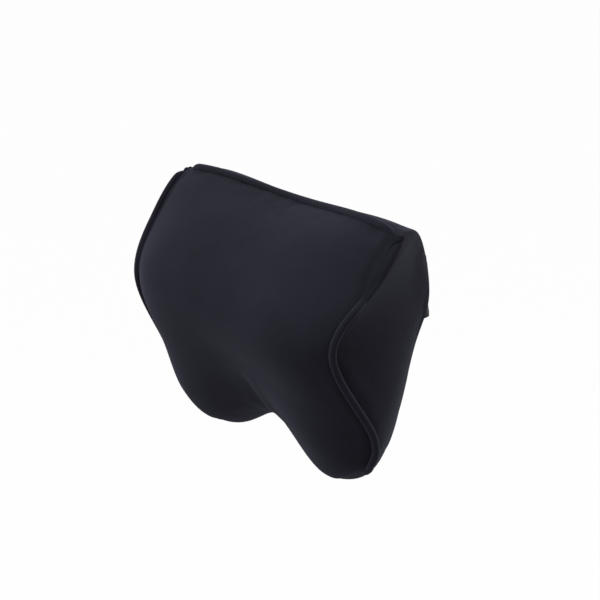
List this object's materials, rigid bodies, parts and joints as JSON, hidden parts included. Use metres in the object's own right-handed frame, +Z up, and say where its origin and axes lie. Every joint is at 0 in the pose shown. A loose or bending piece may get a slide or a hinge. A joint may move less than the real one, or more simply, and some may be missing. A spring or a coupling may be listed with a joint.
{
  "type": "chair headrest pillow",
  "caption": "Strap-on headrest pillow for a chair: crowned head rest over a hollowed neck, lobed foot, piped zip-off fabric cover, elastic strap with side-release buckle.",
  "frame": {"origin": "middle of the strap loop: halfway across the width, at mid height of the strap, in the gap between the back of the pillow and the strap, where the chair's back passes through", "axes": "+X to the right of someone who looks at the front, +Y to the back where the strap is, -Y to the front that the head rests on, +Z up"},
  "size_m": [0.3092, 0.1586, 0.2394],
  "materials": {
    "cover_fabric": "matte",
    "piping_fabric": "matte",
    "liner_knit": "matte",
    "foam": "matte",
    "elastic_webbing": "matte",
    "zipper_tape": "matte",
    "zipper_plastic": "satin",
    "slider_metal": "satin",
    "buckle_plastic": "satin",
    "label_satin": "satin"
  },
  "bodies": {
    "pillow": {"foam_core": "foam", "liner_front": "liner_knit", "liner_back": "liner_knit", "liner_side_left": "liner_knit", "liner_side_right": "liner_knit", "front_panel": "cover_fabric", "side_panel_left": "cover_fabric", "side_panel_right": "cover_fabric", "back_panel_upper": "cover_fabric", "back_panel_lower": "cover_fabric", "piping_left": "piping_fabric", "piping_right": "piping_fabric", "piping_top": "piping_fabric", "zipper_tape_upper": "zipper_tape", "zipper_tape_lower": "zipper_tape", "zipper_teeth_upper": "zipper_plastic", "zipper_teeth_lower": "zipper_plastic", "zipper_end_stops": "zipper_plastic", "care_label": "label_satin", "strap_left": "elastic_webbing", "strap_left_return": "elastic_webbing", "strap_right": "elastic_webbing", "buckle_socket": "buckle_plastic"},
    "slider": {"zipper_slider": "slider_metal"},
    "pull": {"zipper_pull": "slider_metal"},
    "adjuster": {"strap_adjuster": "buckle_plastic"},
    "plug": {"buckle_plug": "buckle_plastic", "strap_right_loop": "elastic_webbing"},
    "upper_arm": {"latch_arm_upper": "buckle_plastic"},
    "lower_arm": {"latch_arm_lower": "buckle_plastic"}
  },
  "joints": [
    {"name": "zipper_slide", "type": "slide", "parent": "pillow", "child": "slider", "axis": [1, 0, 0], "range_m": [0, 0.19]},
    {"name": "pull_swing", "type": "hinge", "parent": "slider", "child": "pull", "pos_m": [-0.095, -0.01605, -0.05076], "axis": [0, 0.2487, 0.9686], "range_deg": [0, 180]},
    {"name": "adjuster_slide", "type": "slide", "parent": "pillow", "child": "adjuster", "axis": [1, 0, 0], "range_m": [0, 0.016], "deforming": ["strap_left_return"]},
    {"name": "buckle_release", "type": "slide", "parent": "pillow", "child": "plug", "axis": [1, 0, 0], "range_m": [0, 0.03], "deforming": ["strap_right", "latch_arm_upper", "latch_arm_lower"]},
    {"name": "latch_upper", "type": "hinge", "parent": "plug", "child": "upper_arm", "pos_m": [0.008, 0.0095, 0.019], "axis": [0, -1, 0], "range_deg": [0, 10], "stiffness_Nm_per_rad": 0.05},
    {"name": "latch_lower", "type": "hinge", "parent": "plug", "child": "lower_arm", "pos_m": [0.008, 0.0095, -0.019], "axis": [0, 1, 0], "range_deg": [0, 10], "stiffness_Nm_per_rad": 0.05}
  ],
  "couplings": [
    {"joint": "latch_lower", "follows": "latch_upper", "ratio": 1}
  ]
}
